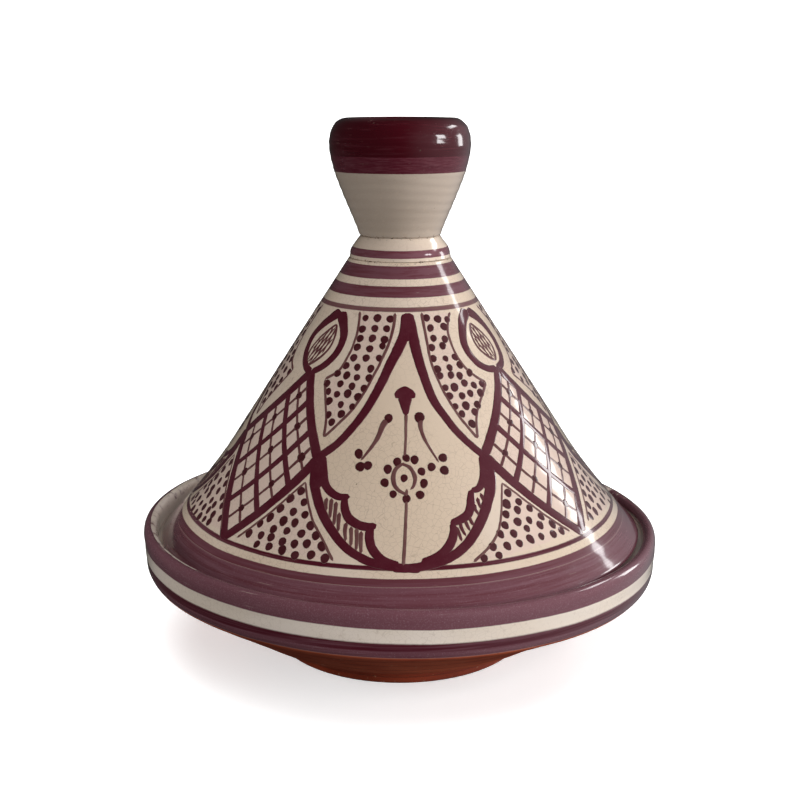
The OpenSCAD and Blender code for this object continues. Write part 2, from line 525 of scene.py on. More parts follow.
def makeWheel():
    # turns an outline round the axis, then leaves finger rings and a little unevenness
    tree, given, result = newGroup("thrownOnWheel", "GeometryNodeTree", {
        "Geometry": "Geometry", "Around": 288, "Ring Pitch": 0.006, "Ring Depth": 0.0001,
        "Unevenness": 0.0003, "Lean": 0.0, "Seed": 1, "Glaze": "Material"}, {"Geometry": "Geometry"})
    reach = 1.0                                    # the sweep's own radius, taken off the outline first
    outline = node(tree, "GeometryNodeMeshToCurve", {0: given["Geometry"]})
    pulled = shifted(outline, (-reach, 0.0, 0.0))
    sweep = node(tree, "GeometryNodeCurveToMesh", {"Curve": circle(tree, given["Around"], reach),
                                                   "Profile Curve": pulled})
    weld = node(tree, "GeometryNodeMergeByDistance", {"Geometry": sweep, "Distance": 0.004 * mm})
    spot = spotIn(tree)
    x, y, z = apart(spot)
    drift = aim("ADD", spot, scaled((0.37, 0.11, 0.23), given["Seed"]))
    turns = z / given["Ring Pitch"] * (2 * math.pi)
    phase = turns + calc("ARCTAN2", y, x) + noise(drift, 18.0, 1.0) * 7.0
    wave = calc("SINE", phase) * given["Ring Depth"] * noise(drift, 31.0, 1.0)
    swell = (noise(drift, 11.0) - 0.5) * given["Unevenness"] * 2.0
    amount = (wave + swell) * readMark(tree, "loose")
    drop = x * given["Lean"] * readMark(tree, "leans")
    thrownShape = shifted(weld, aim("ADD", scaled(normalIn(tree), amount), joined(z=-drop)))
    endTree(thrownShape, given["Glaze"], result)
    return tree


def surfaceOf(pot):
    return node(pot, "GeometryNodeObjectInfo", {0: pot}, "Geometry", transform_space="ORIGINAL")


def surfaceNormal(surface, spot):
    return node(surface, "GeometryNodeSampleNearestSurface",
                {"Mesh": surface, "Value": normalIn(spot), "Sample Position": spot},
                data_type="FLOAT_VECTOR")


def layOn(shape, surface, thickness):
    # presses a shape on the pot, as thick as its lift says
    near = node(shape, "GeometryNodeProximity", {0: surface}, "Position", target_element="FACES")
    rise = readMark(shape, "lift") * thickness
    return putAt(shape, aim("ADD", near, scaled(surfaceNormal(surface, spotIn(shape)), rise)))


def makeBrush():
    # a ribbon of paint along each line, as wide as the line's own marks say
    tree, given, result = newGroup("brushStrokes", "GeometryNodeTree", {
        "Geometry": "Geometry", "Pot": "Object", "Step": 0.0012, "Sides": 10, "Thickness": 0.00012,
        "Tremble": 0.0004, "Raggedness": 0.25, "Seed": 1, "Paint": "Material"}, {"Geometry": "Geometry"})
    surface, spot = surfaceOf(given["Pot"]), spotIn(tree)
    lines = node(tree, "GeometryNodeMeshToCurve", {0: given["Geometry"]})
    even = node(tree, "GeometryNodeResampleCurve", {"Curve": lines, "Length": given["Step"]},
                mode="LENGTH")
    drift = aim("ADD", spot, scaled((0.19, 0.31, 0.13), given["Seed"]))
    shaken = shifted(even, wander(drift, 110.0, given["Tremble"]))
    # round ends, and a width that wavers as the brush does
    half = readMark(tree, "halfWidth")
    along = node(tree, "GeometryNodeSplineParameter", take="Length")
    left = node(tree, "GeometryNodeSplineLength") - along
    back = 1.0 - calc("DIVIDE", calc("MINIMUM", along, left), half, clamp=True)
    roundEnd = calc("MAXIMUM", calc("SQRT", calc("SUBTRACT", 1.0, back * back, clamp=True)), 0.12)
    ragged = (noise(drift, 260.0) - 0.5) * given["Raggedness"] + 1.0
    wide = node(tree, "GeometryNodeSetCurveRadius", {"Curve": shaken, "Radius": half * ragged * roundEnd})
    facing = node(tree, "GeometryNodeSetCurveNormal",
                  {"Curve": wide, "Normal": surfaceNormal(surface, spot)}, mode="FREE")
    x, y, z = apart(spot)
    tip = keepMark(circle(tree, given["Sides"], 1.0), "lift", calc("MAXIMUM", y, y * 0.5))
    tip = putAt(keepMark(tip, "across", calc("ABSOLUTE", x)), joined(y=x))
    ribbon = node(tree, "GeometryNodeCurveToMesh", {
        "Curve": facing, "Profile Curve": tip, "Scale": node(tree, "GeometryNodeInputRadius"),
        "Fill Caps": True})
    endTree(layOn(ribbon, surface, given["Thickness"]), given["Paint"], result)
    return tree


def makeDabs():
    # one touch of the brush at each point, a little longer than it is wide
    tree, given, result = newGroup("brushDabs", "GeometryNodeTree", {
        "Geometry": "Geometry", "Pot": "Object", "Thickness": 0.00016, "Tail": 0.35, "Size Spread": 0.14,
        "Turn Spread": 0.5, "Seed": 1, "Paint": "Material"}, {"Geometry": "Geometry"})
    surface, spot = surfaceOf(given["Pot"]), spotIn(tree)
    points = node(tree, "GeometryNodeMeshToPoints", {"Mesh": given["Geometry"]})
    ball = node(tree, "GeometryNodeMeshUVSphere", {"Segments": 12, "Rings": 6, "Radius": 1.0})
    x, y, z = apart(spot)
    dab = keepMark(ball, "lift", calc("MAXIMUM", z, z * 0.4))
    dab = keepMark(dab, "across", calc("SQRT", x * x + y * y))
    # the tail: the lower half is drawn out and narrowed
    tail = calc("MAXIMUM", -y, 0.0) * given["Tail"]
    dab = putAt(dab, joined(x * (1.0 - tail * 0.8), y - tail))
    # each dab lies on the slope, turned a little and of its own size
    upright = node(tree, "FunctionNodeAlignRotationToVector", {"Vector": surfaceNormal(surface, spot)},
                   axis="Z", pivot_axis="AUTO")
    slope = node(tree, "FunctionNodeAlignRotationToVector", {"Rotation": upright, "Vector": (0, 0, 1)},
                 axis="Y", pivot_axis="Z")
    twist = node(tree, "FunctionNodeRandomValue", {2: -given["Turn Spread"], 3: given["Turn Spread"],
                                                   "Seed": given["Seed"]}, 1, data_type="FLOAT")
    turn = node(tree, "FunctionNodeEulerToRotation", {0: joined(z=twist)})
    spin = node(tree, "FunctionNodeRotateRotation", {0: slope, 1: turn}, rotation_space="LOCAL")
    least, most = 1.0 - given["Size Spread"], 1.0 + given["Size Spread"]
    vary = node(tree, "FunctionNodeRandomValue", {
        0: joined(least, least, least), 1: joined(most, most, most), "Seed": given["Seed"] + 7},
        data_type="FLOAT_VECTOR")
    place = node(tree, "GeometryNodeInstanceOnPoints", {
        "Points": points, "Instance": dab, "Rotation": spin,
        "Scale": scaled(vary, readMark(tree, "halfWidth"))})
    real = node(tree, "GeometryNodeRealizeInstances", {0: place})
    endTree(layOn(real, surface, given["Thickness"]), given["Paint"], result)
    return tree


wheelTree = makeWheel()
brushTree = makeBrush()
dabTree = makeDabs()
print("geometry trees ready")


def build(name, mesh, tree, settings):
    # runs a tree on a mesh and leaves a plain object with the result
    thing = bpy.data.objects.new(name, mesh)
    bpy.context.scene.collection.objects.link(thing)
    modifier = thing.modifiers.new("make", "NODES")
    modifier.node_group = tree
    sockets = {item.name: item.identifier for item in tree.interface.items_tree
               if item.item_type == "SOCKET" and item.in_out == "INPUT"}
    for label, value in settings.items():
        modifier[sockets[label]] = value
    graph = bpy.context.evaluated_depsgraph_get()
    plain = bpy.data.meshes.new_from_object(thing.evaluated_get(graph), preserve_all_data_layers=True,
                                            depsgraph=graph)
    thing.modifiers.clear()
    thing.data = plain
    plain.name = name
    shape = bmesh.new()
    shape.from_mesh(plain)
    bmesh.ops.recalc_face_normals(shape, faces=shape.faces)
    shape.to_mesh(plain)
    shape.free()
    print(name, "has", len(plain.polygons), "faces")
    return thing


thrown = {
    "around": 288,             # faces round the axis
    "rimTilt": 1.2,            # degrees that the dish's rim hangs lower on its +X side
    "tiltFrom": 20.0,          # height in mm where that starts, and where it is full
    "tiltFull": 60.0,
    "softEdge": 1.1,           # small round on a fired edge, in mm
}
rimSlope = math.tan(math.radians(thrown["rimTilt"]))


def leans(r, z):
    share = min(1.0, max(0.0, (z - thrown["tiltFrom"]) / (thrown["tiltFull"] - thrown["tiltFrom"])))
    return share * share * (3 - 2 * share)


def marks(loose=1.0, lean=0.0, bare=0.0, inside=0.0):
    return {"loose": loose, "leans": lean, "bare": bare, "inside": inside}


dishShape = {
    "shoulderHeight": rimTop - 25.5,
    "rimThickness": 7.4,
    "wall": 9.0,
    "ledgeOuter": lidRadius + 2.6,     # room for the lid to turn
    "ledgeInner": lidRadius - 8.0,
    "floorHeight": footTop + 8.0,
    "lipDrop": 4.5,                    # from the crest to where the rim's inner side is straight
    "ledgeDepth": 10.0,
}


def dishOutline():
    d, soft = dishShape, thrown["softEdge"]
    foot = np.array([footRadius, footTop])
    belly, shoulder = foot + [26, 11], np.array([rimRadius - 4.5, d["shoulderHeight"] - 2])
    innerBelly = belly + d["wall"] * np.array([-0.52, 0.85])
    innerTop = np.array([d["ledgeInner"], ledgeTop - d["ledgeDepth"]])
    crest = rimRadius - d["rimThickness"] / 2
    outer, inner, lipFoot = d["ledgeOuter"], d["ledgeInner"], rimTop - d["lipDrop"]
    side = np.array([rimRadius - 0.8, d["shoulderHeight"] + 6])
    outside = [bend(foot, foot + [10, 0.5], belly - [10, 7], belly),
               bend(belly, belly + [12, 8], shoulder - [11.5, 7], shoulder),
               bend(shoulder, shoulder + [3, 2], side - [0.2, 3.5], side),
               bend([rimRadius, rimTop - 6], [rimRadius, rimTop - 1.7], [rimRadius - 1.7, rimTop],
                    [crest, rimTop])]
    lip = bend([crest, rimTop], [outer + 1.5, rimTop], [outer + 0.2, rimTop - 1.5], [outer, lipFoot])
    ledge = [roundCorner([outer, lipFoot], [outer, ledgeTop], [inner, ledgeTop], soft),
             roundCorner([outer, ledgeTop], [inner, ledgeTop], innerTop, soft),
             bend(innerTop, innerTop - [0.5, 8], innerBelly + [25, 13], innerBelly),
             bend(innerBelly, innerBelly - [12, 8], [footRadius, d["floorHeight"]],
                  [footRadius - 18, d["floorHeight"]]),
             [[0, d["floorHeight"]]]]
    return [([[0, footTop], [footRadius - 3, footTop]], marks(0.0, 0.0, 1.0)),
            (np.vstack(outside), marks(1.0, leans)),
            (lip, marks(1.0, lambda r, z: min(1.0, max(0.0, (z - ledgeTop) / (lipFoot - ledgeTop))),
                        0.0, 0.4)),
            (np.vstack(ledge), marks(0.3, 0.0, 0.0, 1.0))]


def footOutline():
    low, edge, recess = footRadius - 4.0, 1.6, footRadius - 15.0
    tread = bend([low - edge, 0], [low - edge / 2, 0], [low, edge / 2], [low + 0.6, edge])
    wall = roundCorner([low, edge], [footRadius, footTop], [recess, footTop], 0.8)
    hollow = roundCorner([recess, footTop], [recess, 0], [low, 0], 1.0)
    return [(np.vstack([tread, wall, [[recess, footTop]], hollow]),
             marks(lambda r, z: 0.6 if z > 2 else 0.0, 0.0, 1.0))]      # the tread stays flat


lidShape = {
    "wallAcross": 8.35,        # level thickness of the sloping wall
    "flareRadius": lidRadius - 41.2,
    "flareHeight": ledgeTop + 54.5,
    "seatWidth": 7.6,          # flat edge that lies on the ledge
}
flareEnd = np.array([lidShape["flareRadius"], lidShape["flareHeight"]])
lidEdge = np.array([lidRadius, ledgeTop + 4])
lidOutside = np.vstack([bend(lidEdge, lidEdge + [-13, 13], flareEnd + [11, -16.7], flareEnd, 40),
                        [[coneTopRadius, coneTop]]])


def lidOutline():
    soft = thrown["softEdge"]
    seat = lidRadius - lidShape["seatWidth"]
    innerFlare = flareEnd - [lidShape["wallAcross"], 0]
    under = roundCorner([seat, ledgeTop + 1], [seat, ledgeTop], [lidRadius, ledgeTop], 0.8)
    edge = roundCorner([seat, ledgeTop], [lidRadius, ledgeTop], lidEdge, 1.6)
    top = roundCorner(flareEnd, [coneTopRadius, coneTop], [0, coneTop], 0.7)
    topInner = np.array([coneTopRadius - lidShape["wallAcross"], coneTop])
    inner = bend(innerFlare, innerFlare + [11, -16.7], [seat - 13, ledgeTop + 12], [seat, ledgeTop + 1])
    return [(np.vstack([under, edge, lidOutside[:-1], top]), marks()),
            (np.vstack([roundCorner(top[-1], topInner, innerFlare, soft), inner]),
             marks(0.8, 0.0, 1.0, 1.0))]


neckRadius = coneTopRadius - 6.0       # where the knob stands on the collar
boreRadius = coneTopRadius - 12.9


def collarOutline():
    bore = [[boreRadius, neckTop], [boreRadius, coneTop]]
    waist = bend([coneTopRadius - 0.9, coneTop + 0.1], [coneTopRadius + 0.5, coneTop + 5],
                 [neckRadius + 3.1, neckTop - 5.5], [neckRadius + 0.1, neckTop - 0.8])
    return [(np.array(bore), marks(0.3, 0.0, 1.0, 1.0)),
            (np.vstack([roundCorner([boreRadius, coneTop], [coneTopRadius, coneTop], waist[2], 0.7),
                        waist[2:], [[neckRadius - 0.7, neckTop]]]), marks())]


knobShape = {"width": 39.6, "lip": 29.6, "mouth": 24.6, "cupDepth": 52.5}      # radii and depth


def knobOutline():
    k, top = knobShape, knobTop
    neck, wide = np.array([neckRadius, neckTop]), k["width"]
    waist, brow = np.array([wide - 3, top - 30]), np.array([wide - 1.4, top - 6.5])
    mouth, side = np.array([k["mouth"], top - 6]), np.array([k["mouth"] - 0.5, top - 30])
    bottom = np.array([k["mouth"] - 13.6, top - k["cupDepth"]])
    outside = [roundCorner([0, neckTop], neck, neck + [2, 6], 0.9),
               bend(neck + [0.4, 1.3], neck + [2.6, 8], neck + [8.1, 19], waist, 22),
               bend(waist, waist + [2.4, 9], [wide + 1.4, top - 14], brow, 22),
               bend(brow, brow + [-1.8, 4.5], [k["lip"] + 3.5, top], [k["lip"], top])]
    cup = [bend([k["lip"], top], [k["lip"] - 2.5, top], mouth + [0, 3.5], mouth),
           bend(side, [side[0] - 0.5, bottom[1] + 12], bottom + [6, 0], bottom), [[0, bottom[1]]]]
    return [(np.array([[0, neckTop], neck - [2, 0]]), marks(0.0, 0.0, 1.0)),
            (np.vstack(outside), marks()), (cup[0], marks(0.8)),
            (np.vstack(cup[1:]), marks(0.8, 0.0, 0.0, 1.0))]


# painted rings: lower and upper height, coat, softness of the edge, all in mm
dishRings = [(49.6, 54.6, "thin", 0.7), (53.6, 58.0, "deep", 0.6), (65.5, 90.0, "worn", 0.3)]
coneRings = [(60.0, 79.6, "thin", 0.3), (79.4, 79.8, "worn", 0.2), (79.8, 83.1, "middle", 0.2),
             (86.2, 88.1, "deep", 0.25),
             (203.4, 205.7, "wash", 0.25), (210.4, 216.1, "stripe", 0.2), (219.7, 226.3, "stripe", 0.2)]
collarRings = [(230.1, 234.3, "stripe", 0.2)]
# the knob's rings are darker than the same paints elsewhere, as painted shade
knobRings = [(276.2, 290.0, "shadedMauve", 0.2), (284.9, 320.0, "thick", 0.25)]

dishGlaze = glazed("dishGlaze", dishRings, {
    "ground": ("rimCream", "rimWarm"), "waver": 0.5, "specks": 0.030, "tilt": rimSlope, "bareBelow": 49.8,
    "freckles": 0.55, "frontCover": 0.35, "seams": []})
coneGlaze = glazed("coneGlaze", coneRings, {
    "ground": ("cream", "creamWarm"), "waver": 0.35, "specks": 0.030, "tinted": True, "freckles": 0.4,
    "crazing": 0.46, "seams": [(coneTop, 1.7)]})
# the collar's darker neck cream is painted shade
collarGlaze = glazed("collarGlaze", collarRings, {
    "ground": ("creamWarm", "neckShadedCream"), "waver": 0.3, "specks": 0.04, "bump": 0.5,
    "seams": [(coneTop, 1.8), (neckTop, 1.6)]})
# the knob's ground, rings and thick paint are darker than elsewhere as painted shade
knobGlaze = glazed("knobGlaze", knobRings, {
    "ground": ("knobShadedCream", "knobShadedWarm"), "waver": 0.35, "specks": 0.035, "bump": 0.42,
    "seams": [(neckTop, 2.2)]})
footClay = clayMaterial("footClay")
broadPaint = brushPaint("broadStrokePaint", {"full": "stroke", "weak": "plumThin", "patch": 90.0,
                                             "rimFrom": 0.86, "rimFade": 0.3})
finePaint = brushPaint("fineLinePaint", {"full": "stroke", "weak": "wash", "patch": 140.0,
                                         "rimFrom": 0.72, "rimFade": 0.4})
dotPaint = brushPaint("dotPaint", {"full": "dot", "weak": "plumThin", "patch": 260.0,
                                   "rimFrom": 0.88, "rimFade": 0.3})
print("materials ready")


def throw(name, outline, closed, glaze, seed, **feel):
    settings = {"Around": thrown["around"], "Seed": seed, "Glaze": glaze, "Lean": rimSlope,
                "Ring Pitch": feel.get("pitch", 6.0) * mm, "Ring Depth": feel.get("depth", 0.10) * mm,
                "Unevenness": feel.get("uneven", 0.35) * mm}
    return build(name, outlineMesh(name + "Outline", outline, closed), wheelTree, settings)


dishBowl = throw("dishBowl", dishOutline(), False, dishGlaze, 3, pitch=9.0, depth=0.14)
footRing = throw("footRing", footOutline(), True, footClay, 5, pitch=4.0, depth=0.20)
lidCone = throw("lidCone", lidOutline(), True, coneGlaze, 7, pitch=8.0, depth=0.05, uneven=0.3)
neckCollar = throw("neckCollar", collarOutline(), True, collarGlaze, 9, uneven=0.25)
knobCup = throw("knobCup", knobOutline(), False, knobGlaze, 11, pitch=5.0, depth=0.14)
print("thrown pieces ready")


# places in the painted design are degrees round from the front and mm up the slope from the edge
design = {
    "turns": (-48.0, -28.0, 29.5, 53.5),     # leaf, two corners of the medallion, leaf
    "spans": (20, 57.5, 24, 24.5, 43, 20, 20, 43, 20, 20, 43, 25),   # degrees, all the way round
    "leftLeaf": (-73.0, -48.0, -28.0),
    "rightLeaf": (29.5, 53.5, 78.0),
    "unsteady": 0.5,                         # mm that a repeated point may stray
    "edgeRoll": 0.7,                         # slope hidden by the lid's rounded edge
    "dotStray": (0.7, 1.1),                  # along a row and up the slope, in mm
    "dotSizes": (0.88, 1.1),                 # smallest and largest, as shares of the panel's own size
    "dotInk": (0.75, 1.0),
    "seed": 21,
}
stations = np.concatenate([[0], np.cumsum(design["spans"])]) + design["turns"][0]
slopeRun = np.concatenate([[0], np.cumsum(np.linalg.norm(np.diff(lidOutside, axis=0), axis=1))])
slopeRun = slopeRun - design["edgeRoll"]
hand = random.Random(design["seed"])


def radiusAt(up):
    return np.interp(up, slopeRun, lidOutside[:, 0])


def onLid(turn, up):
    r, z, a = radiusAt(up), np.interp(up, slopeRun, lidOutside[:, 1]), np.radians(turn)
    return np.stack([r * np.sin(a), -r * np.cos(a), z], -1) * mm


class Paint:
    # collects strokes as chains of points with a half width and a load of ink
    def __init__(self):
        self.places, self.edges, self.half, self.ink = [], [], [], []

    def stroke(self, points, widths, ink, stretch=None, stray=0.0):
        points = np.array(points, float)
        if stretch:
            points[:, 0] = stretch(points[:, 0])
        if stray:
            for p in points:
                up = hand.uniform(-stray, stray)
                p += [math.degrees(hand.uniform(-stray, stray) / radiusAt(p[1])), up]
        line = smoothLine(points) if len(points) > 2 else points
        widths = np.atleast_1d(np.array(widths, float))
        steps = np.linspace(0, 1, len(line))
        half = np.interp(steps, np.linspace(0, 1, len(widths)), widths) / 2
        first = len(self.places)
        self.places.extend(onLid(line[:, 0], line[:, 1]))
        self.edges.extend((first + i, first + i + 1) for i in range(len(line) - 1))
        self.half.extend(half * mm)
        self.ink.extend([ink] * len(line))

    def dab(self, turn, up, width, ink):
        self.places.append(onLid(np.array(turn, float), np.array(up, float)))
        self.half.append(width / 2 * mm)
        self.ink.append(ink)

    def mesh(self, name):
        mesh = bpy.data.meshes.new(name)
        mesh.from_pydata([tuple(p) for p in self.places], self.edges, [])
        for label, values in (("halfWidth", self.half), ("ink", self.ink)):
            mesh.attributes.new(label, "FLOAT", "POINT").data.foreach_set("value", values)
        return mesh


broad, fine, dots = Paint(), Paint(), Paint()

medallion = {
    "archLeft": [(4.1, 163), (2.2, 150), (-2, 140), (-6, 130), (-10, 118), (-13.5, 108), (-17.5, 98),
                 (-22, 88), (-27, 80.5), (-29, 78)],
    "archRight": [(6.3, 163), (7.6, 150), (8.8, 140), (11, 128), (13.5, 115), (17, 105), (21, 95),
                  (26, 85), (29, 80), (30.5, 78)],
    "apex": [[(4.8, 163), (4.2, 154), (3.2, 146)], [(5.6, 163), (6.1, 154), (6.8, 146)]],
    "corners": [[(-27.6, 78), (-26.7, 71), (-24.9, 62)], [(29.1, 78), (28.2, 70), (26.4, 61)]],
    "lowerLeft": [(-28.5, 81), (-28, 75), (-27, 66), (-25.5, 60), (-22, 50), (-17.5, 40), (-13, 32),
                  (-7, 26), (0, 23.2), (5, 22.6)],
    "lowerRight": [(30, 80), (29.5, 70), (28, 62), (25.5, 54), (22.5, 46), (19, 38), (15, 31), (10, 26),
                   (3, 23), (-2, 23)],
    "scallopLeft": [[(-27.4, 80), (-25.4, 73), (-23.5, 66), (-21, 61.5), (-18, 59.3), (-14.6, 59.6)],
                    [(-16, 60), (-15.9, 55.5), (-14.8, 50.5), (-13.3, 47.5), (-10.8, 45), (-7.8, 44.4),
                     (-6.2, 45.8)],
                    [(-7.2, 46), (-7.8, 42), (-7.6, 37), (-6.3, 31.5), (-4, 27), (0, 24.5)]],
    "scallopRight": [[(29, 80), (27.6, 72), (26, 66), (24, 62.5), (21.5, 62)],
                     [(21.8, 62.5), (20.9, 58), (20.3, 54), (18.8, 49.5), (16, 46.8), (13.5, 45.5)],
                     [(14, 46), (14.1, 41), (13, 36), (11, 31), (8, 27.5), (5, 26)]],
    "hatchLeft": [(-21.3, 58, 51), (-19.8, 58, 47), (-18.2, 56.5, 43.5), (-16.6, 51, 40.5),
                  (-14.2, 46, 36), (-12.7, 44, 33.5), (-11.2, 43.5, 31.5), (-9.9, 42, 30)],
    "hatchRight": [(24.6, 60, 53.5), (23.2, 58, 50), (21.8, 55, 48), (19.4, 49, 43), (18.0, 47.5, 40.5),
                   (16.6, 46, 38), (15.2, 44, 35.5)],
}

motif = {
    "head": [[(4.6, 117.8), (2.5, 118.7), (0.3, 117.2), (-1.9, 114.4)],
             [(-0.2, 117.8), (1.9, 118.7), (4.1, 117.2), (6.4, 114.4)],
             [(2.2, 121.0), (2.2, 113.5), (2.35, 104.5)]],
    "stems": [([(2.4, 106), (2.1, 95), (1.6, 81)], (1.9, 1.6, 1.6), 0.2),
              ([(2, 65), (1.6, 50), (0.8, 24)], (1.7, 1.8, 2.0), 0.2),
              ([(-4.9, 102.5), (-6.4, 99), (-8.3, 91), (-13, 79.5)], (4.4, 3.2, 2.4, 1.2), 0.4),
              ([(8, 103), (7.6, 98.5), (8.9, 91), (12.8, 78.5)], (3.2, 2.6, 1.9, 1.0), 0.4),
              ([(1.3, 79), (-1.4, 75.5), (-2.1, 70), (-0.9, 65), (2.3, 61.5)],
               (1.6, 2.2, 2.5, 2.2, 1.6), 0.4),
              ([(0.3, 78.6), (3.2, 76.3), (4.6, 71.5), (4.1, 66.5), (3.0, 64.5)],
               (1.6, 2.1, 2.4, 1.8, 1.2), 0.4)],
    "dots": [(1.3, 70.8), (-0.9, 79.6), (2.0, 81.6), (4.8, 80.6), (-3.9, 75.6), (6.8, 74.2), (-4.7, 68.3),
             (7.3, 67.8), (-2.0, 62.3), (1.9, 59.8), (5.9, 61.8)],
    "clusters": [(-14, 83.2), (-12.9, 76.3), (-10.4, 77.2), (14.3, 81), (10.2, 76.4), (14.2, 74.2)],
    "heads": [(-4.4, 103.2), (7.6, 103.7)],
}

panels = {
    "upperLeft": {"inner": [(-3.3, 163), (-3.9, 155.6), (-6.1, 145.6), (-9.4, 135.6), (-12.8, 125.6),
                            (-16.1, 115.6), (-19.4, 106.9), (-23.9, 98.1), (-28.3, 90)],
                  "outer": [(-28.3, 90), (-29.4, 99.4), (-32.2, 109.4), (-36.7, 122)],
                  "top": [(-36.7, 122), (-30.6, 128), (-27.6, 138), (-26.3, 148), (-27.2, 157),
                          (-28.9, 163)]},
    "upperRight": {"inner": [(15, 163), (15.2, 152), (15.6, 137), (17.8, 123), (21.1, 110.6),
                             (24.4, 100.6), (28.6, 89.4)],
                   "outer": [(28.6, 89.4), (30.6, 99.4), (34.4, 108), (42.2, 119)],
                   "top": [(42.2, 119), (37.2, 124), (32.8, 130.6), (30, 140.6), (30, 150.6),
                           (33.3, 158), (36.7, 162)]},
    "lowerLeft": {"inner": [(-30, 64.5), (-27, 54), (-24, 45), (-20, 36), (-16, 25)],
                  "outer": [(-30, 64.5), (-33.4, 56.5), (-37.4, 46), (-41.3, 36), (-45, 26.5)]},
    "lowerRight": {"inner": [(32.5, 63.5), (29.5, 50), (26.5, 39), (22.5, 31), (17.5, 24)],
                   "outer": [(32.5, 63.5), (36, 56.5), (40.2, 47), (44.6, 37), (48.6, 28)]},
}

brushWidths = {                                  # in mm, from a line's start to its end
    "archLeft": (5.0, 6.0, 5.2, 4.8, 4.6, 4.6, 5.0),
    "archRight": (5.0, 6.0, 5.2, 4.8, 4.4, 4.4, 5.0),
    "apex": (5.2, 5.0, 3.2),
    "corners": (5.0, 6.4, 3.4),
    "lowerLeft": (6.0, 6.4, 5.6, 5.0, 4.6, 4.6, 5.0),
    "lowerRight": (6.0, 6.4, 6.0, 5.4, 5.0, 5.0, 4.6),
    "scallopLeft": (6.8, 5.6, 4.6, 4.2, 3.4),    # the outermost on each side
    "scallopRight": (6.8, 5.2, 4.6, 3.8, 3.0),
    "scallop": (3.2, 4.8, 5.0, 4.8, 3.6),
    "hatchLeft": (2.5, 2.2, 1.7),
    "hatchRight": (2.4, 2.1, 1.5),
    "petal": (4.0, 4.6, 5.0, 4.0),
    "bud": (4.6, 7.4, 2.4),
    "leafRing": (7.2, 6.0, 5.0, 4.6, 4.4, 4.4),
    "leafRim": (1.9, 1.5, 1.6),
    "leafVein": (1.1, 1.3, 1.0),
    "netEdge": (6.0, 5.6, 6.0),
    "netBroad": (3.9, 3.5, 3.9),
    "netFine": (2.0, 1.7, 1.9),
}
dabSizes = {"dots": 4.5, "clusters": 4.9, "heads": 5.3}
panelLines = {"upper": ((1.9, 1.5, 1.8), 0.4), "lower": ((1.3, 1.5, 1.7), 0.3)}   # widths in mm, ink
panelDots = {                                    # rows of dabs, in mm; start is the first row's height
    "upper": {"rowGap": 5.6, "gap": 5.7, "size": 4.3, "margin": 1.9, "start": 2.4},
    "lower": {"rowGap": 5.5, "gap": 7.4, "size": 4.8, "margin": 2.8, "start": 1.2},
}

leafColumns = {
    "left": {"ringIn": [(-44, 161.5), (-38.5, 155), (-34.6, 147), (-35.8, 137), (-41, 129), (-47, 124)],
             "ringOut": [(-44.5, 161.5), (-51, 157), (-58, 150), (-60.7, 143), (-58.5, 134), (-53, 127),
                         (-47, 124)],
             "leaf": ((-43.5, 154), (-52.5, 127), 6.3),
             "diamond": ((-46.8, 125), (-28, 78), (-49.5, 23.5), (-73, 80))},
    "right": {"ringIn": [(52.5, 162), (44.5, 156), (39.8, 148), (38.3, 140), (42, 130.5), (48, 126),
                         (54, 125)],
              "ringOut": [(53, 161.5), (60, 156.5), (65, 149.5), (66.7, 141), (64.5, 132.5), (60, 127),
                          (54, 125)],
              "leaf": ((50, 154), (56, 129.5), 6.3),
              "diamond": ((54.4, 126), (78, 81), (53, 25), (29.5, 80))},
}


def inside(turns, ups, outline):
    # which of the places lie within an outline
    hit = np.zeros(len(turns), bool)
    for (a, b), (c, d) in zip(outline, np.roll(outline, -1, axis=0)):
        crosses = (b > ups) != (d > ups)
        slope = (c - a) / (d - b) if d != b else 0.0
        hit ^= crosses & (turns < a + slope * (ups - b))
    return hit


def fillDots(outline, rowGap, gap, size, margin, start):
    # rows of dabs from one side of a panel to the other
    sideways, upwards = design["dotStray"]
    up = outline[:, 1].min() + start
    while up < outline[:, 1].max() - margin * 0.4:
        grid = np.linspace(outline[:, 0].min(), outline[:, 0].max(), 500)
        covered = grid[inside(grid, np.full(500, up), outline)]
        perDegree = math.radians(radiusAt(up))
        reach = (covered[-1] - covered[0]) * perDegree / 2 - margin if len(covered) else -1.0
        count = max(1, int(2 * reach / gap + 1.05)) if reach > -0.8 else 0
        step = min(2 * reach / max(count - 1, 1), gap * 1.25)
        lean = hand.uniform(-0.5, 0.5) * (2 * reach - step * (count - 1))
        for i in range(count):
            across = lean + (i - (count - 1) / 2) * step if count > 1 else 0.0
            across += hand.uniform(-sideways, sideways)
            dots.dab((covered[-1] + covered[0]) / 2 + across / perDegree,
                     up + hand.uniform(-upwards, upwards), size * hand.uniform(*design["dotSizes"]),
                     hand.uniform(*design["dotInk"]))
        up += rowGap


def between(stationsHere, turnsThere):
    # carries the front's places to another part of the lid, turned over where the order falls
    return lambda turns: np.interp(turns, turnsThere, stationsHere)


def carried(places, there):
    places = np.array(places, float)
    places[:, 0] = there(places[:, 0])
    return places


